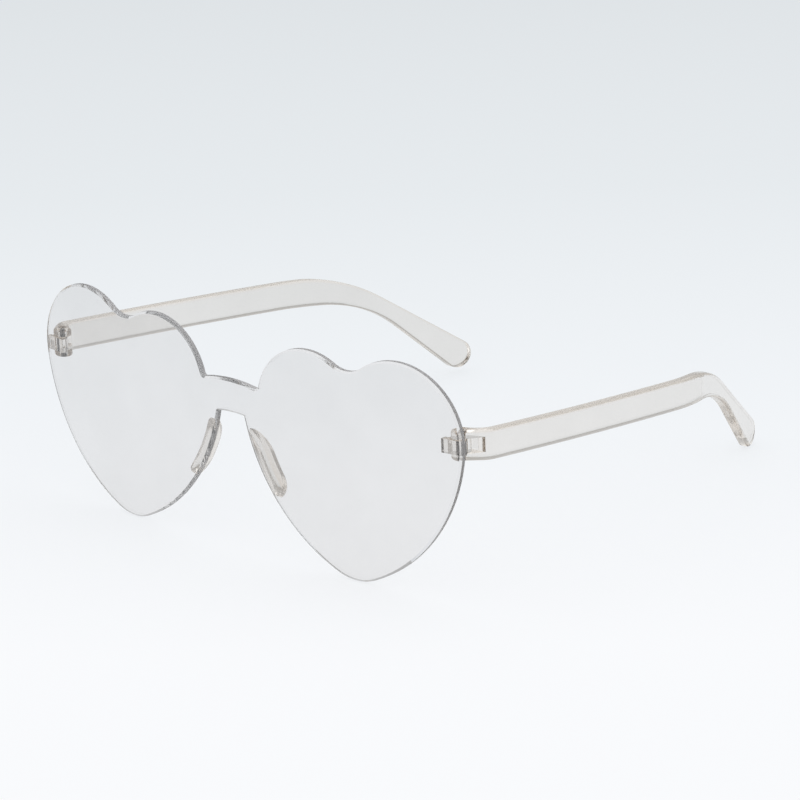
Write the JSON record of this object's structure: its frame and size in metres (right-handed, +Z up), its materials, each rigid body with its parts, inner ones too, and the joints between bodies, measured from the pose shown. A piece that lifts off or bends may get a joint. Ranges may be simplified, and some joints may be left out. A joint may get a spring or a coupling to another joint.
{
  "type": "heart shaped sunglasses",
  "caption": "Rimless clear sunglasses: a gently curved one-piece heart lens sheet with nose pads and hinge blocks, and screw-hinged temples with ear hooks that fold in.",
  "frame": {"origin": "centre of the bounding box on the surface the glasses stand on", "axes": "+X to the wearer's left, -Y the way the wearer looks, +Z up; right temple fully open, left temple turned in 5 degrees"},
  "size_m": [0.1516, 0.1524, 0.0589],
  "materials": {
    "lens_clear": "polished clear sheet, very slightly grey",
    "moulded_clear": "glossy clear moulding",
    "screw_steel": "turned steel"
  },
  "bodies": {
    "front": {"lens_shield": "lens_clear", "nose_pad_left": "moulded_clear", "nose_pad_right": "moulded_clear", "hinge_block_left": "moulded_clear", "hinge_block_right": "moulded_clear"},
    "left_arm": {"temple_left": "moulded_clear", "hinge_screw_left": "screw_steel"},
    "right_arm": {"temple_right": "moulded_clear", "hinge_screw_right": "screw_steel"}
  },
  "joints": [
    {"name": "left_fold", "type": "hinge", "parent": "front", "child": "left_arm", "pos_m": [0.07046, -0.06678, 0.03984], "axis": [0, -0.0203, 0.9998], "range_deg": [-5, 80]},
    {"name": "right_fold", "type": "hinge", "parent": "front", "child": "right_arm", "pos_m": [-0.06894, -0.06678, 0.03984], "axis": [0, 0.0203, -0.9998], "range_deg": [0, 77]}
  ]
}
